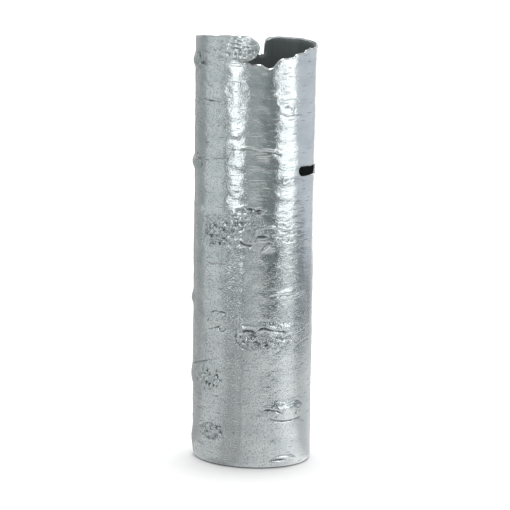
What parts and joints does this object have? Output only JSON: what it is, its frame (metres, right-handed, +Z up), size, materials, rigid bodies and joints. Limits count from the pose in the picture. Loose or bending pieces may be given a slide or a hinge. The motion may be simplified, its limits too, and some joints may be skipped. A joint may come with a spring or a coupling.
{
  "type": "cast metal birch log vase",
  "caption": "Tall round vase cast in bright metal from a birch log, with bark relief, a torn open rim, a split in its wall and a flat padded base.",
  "frame": {"origin": "middle of the lower face of the pad, on the plane that the vase stands on", "axes": "+Z up along the log, -Y the front with the torn rim, +X to the viewer's right"},
  "size_m": [0.1137, 0.1163, 0.4051],
  "materials": {
    "cast_metal": "bright plated casting, polished on the high places",
    "floor_metal": "dull, as cast",
    "sealant": "satin",
    "felt": "matt felt"
  },
  "bodies": {
    "root": {"bark_shell": "cast_metal", "base_floor": "floor_metal", "base_seal": "sealant", "base_pad": "felt"}
  },
  "joints": []
}
